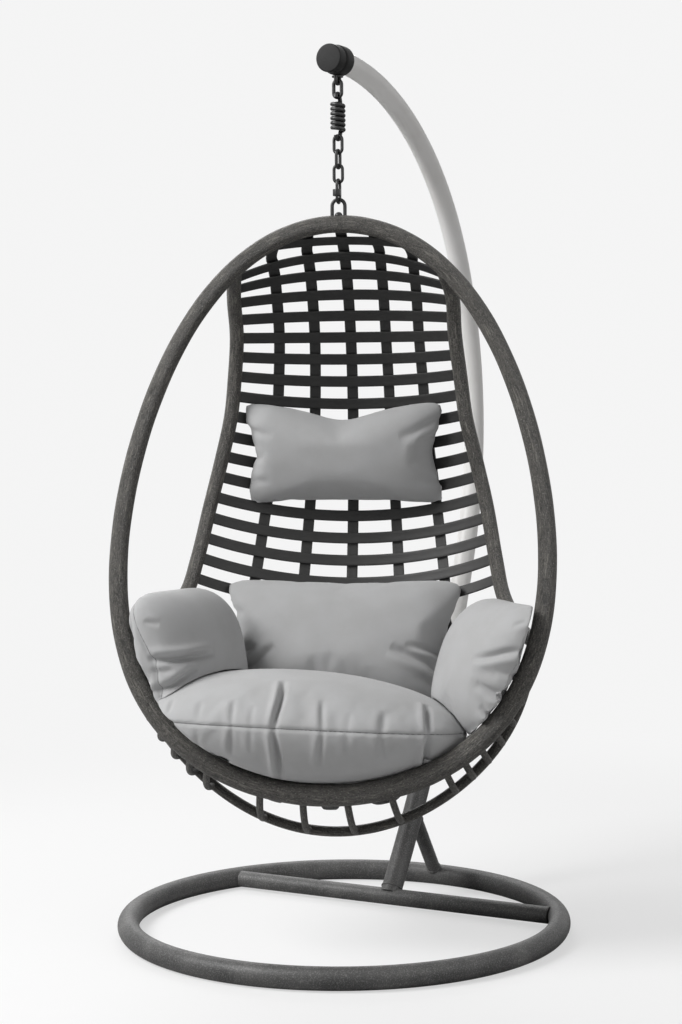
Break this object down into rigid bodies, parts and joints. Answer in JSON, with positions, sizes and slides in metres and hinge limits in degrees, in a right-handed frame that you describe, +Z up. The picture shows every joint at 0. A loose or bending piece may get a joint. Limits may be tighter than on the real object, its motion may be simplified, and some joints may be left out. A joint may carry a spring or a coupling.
{
  "type": "pod chair",
  "caption": "Hanging pod chair: an egg-shaped strapped basket with cushions, hung by a spring and chain from a curved pole on a ring base.",
  "frame": {"origin": "on the floor, under the middle of the chair's box", "axes": "+Z up, the basket opens towards -Y, +X to the right of someone facing it; the pole stands behind and to the right"},
  "size_m": [1, 1.1898, 1.9406],
  "materials": {
    "hammertone": "satin",
    "pale_pole": "satin",
    "black_plastic": "matte",
    "black_metal": "satin",
    "bark_brown": "matte",
    "strap_black": "satin",
    "grey_fabric": "woven"
  },
  "bodies": {
    "stand": {"base_ring": "hammertone", "crossbar": "hammertone", "lower_post": "hammertone", "rear_brace": "hammertone", "upper_pole": "pale_pole", "pole_spigot": "hammertone", "joint_bolt_lower": "black_metal", "joint_bolt_upper": "black_metal", "hanger_collar": "black_plastic", "pole_end_cap": "black_plastic", "eye_bolt": "black_metal", "eye_nut": "black_metal"},
    "top_link": {"top_link": "black_metal"},
    "spring": {"spring": "black_metal"},
    "chain_link_1": {"chain_link_1": "black_metal"},
    "chain_link_2": {"chain_link_2": "black_metal"},
    "chain_link_3": {"chain_link_3": "black_metal"},
    "quick_link": {"quick_link": "black_metal"},
    "quick_link_nut": {"quick_link_nut": "black_metal"},
    "basket": {"hoop": "bark_brown", "back_rail_left": "bark_brown", "back_rail_right": "bark_brown", "hanger_loop": "black_metal", "hanger_bolt": "black_metal", "cradle_ladder": "strap_black", "back_strap_1": "strap_black", "back_strap_2": "strap_black", "back_strap_3": "strap_black", "back_strap_4": "strap_black", "back_strap_5": "strap_black", "back_strap_6": "strap_black", "back_strap_7": "strap_black", "back_strap_8": "strap_black", "back_strap_9": "strap_black", "back_strap_10": "strap_black", "back_strap_11": "strap_black", "back_strap_12": "strap_black", "back_strap_13": "strap_black", "back_strap_14": "strap_black", "back_strap_15": "strap_black", "back_strap_16": "strap_black", "back_strap_17": "strap_black", "back_strap_18": "strap_black", "seat_strap_1": "strap_black", "seat_strap_2": "strap_black", "seat_strap_3": "strap_black", "seat_strap_4": "strap_black", "seat_strap_5": "strap_black", "seat_strap_6": "strap_black", "seat_strap_7": "strap_black", "long_strap_1": "strap_black", "long_strap_2": "strap_black", "long_strap_3": "strap_black", "long_strap_4": "strap_black", "long_strap_5": "strap_black", "headrest_pillow": "grey_fabric"},
    "cushion_set": {"seat_cushion": "grey_fabric", "back_cushion": "grey_fabric", "arm_cushion_left": "grey_fabric", "arm_cushion_right": "grey_fabric"}
  },
  "joints": [
    {"name": "top_link_swing", "type": "hinge", "parent": "stand", "child": "top_link", "pos_m": [0, -0.09487, 1.85758], "axis": [0.3502, 0.9367, 0], "range_deg": [-8, 8]},
    {"name": "spring_swing", "type": "hinge", "parent": "top_link", "child": "spring", "pos_m": [0, -0.09487, 1.82788], "axis": [0.9367, -0.3502, 0], "range_deg": [-10, 5]},
    {"name": "spring_stretch", "type": "slide", "parent": "spring", "child": "chain_link_1", "axis": [0, 0, -1], "range_m": [0, 0.02], "stiffness_N_per_m": 20000, "springref_m": -0.02, "deforming": ["spring"]},
    {"name": "chain_link_2_swing", "type": "hinge", "parent": "chain_link_1", "child": "chain_link_2", "pos_m": [0, -0.09487, 1.70778], "axis": [0.9455, -0.3256, 0], "range_deg": [-6, 2]},
    {"name": "chain_link_3_swing", "type": "hinge", "parent": "chain_link_2", "child": "chain_link_3", "pos_m": [0, -0.09487, 1.67608], "axis": [0.2924, 0.9563, 0], "range_deg": [-6, 6]},
    {"name": "quick_link_swing", "type": "hinge", "parent": "chain_link_3", "child": "quick_link", "pos_m": [0, -0.09487, 1.64438], "axis": [0.9781, -0.2079, 0], "range_deg": [-6, 2]},
    {"name": "quick_link_nut_slide", "type": "slide", "parent": "quick_link", "child": "quick_link_nut", "axis": [0, 0, 1], "range_m": [0, 0.009]},
    {"name": "basket_turn", "type": "hinge", "parent": "quick_link", "child": "basket", "pos_m": [0, -0.09487, 1.60068], "axis": [0, 0, 1], "range_deg": [-20, 20]},
    {"name": "cushion_set_lift", "type": "slide", "parent": "basket", "child": "cushion_set", "axis": [0, -0.6, 0.8], "range_m": [0, 0.05]}
  ]
}
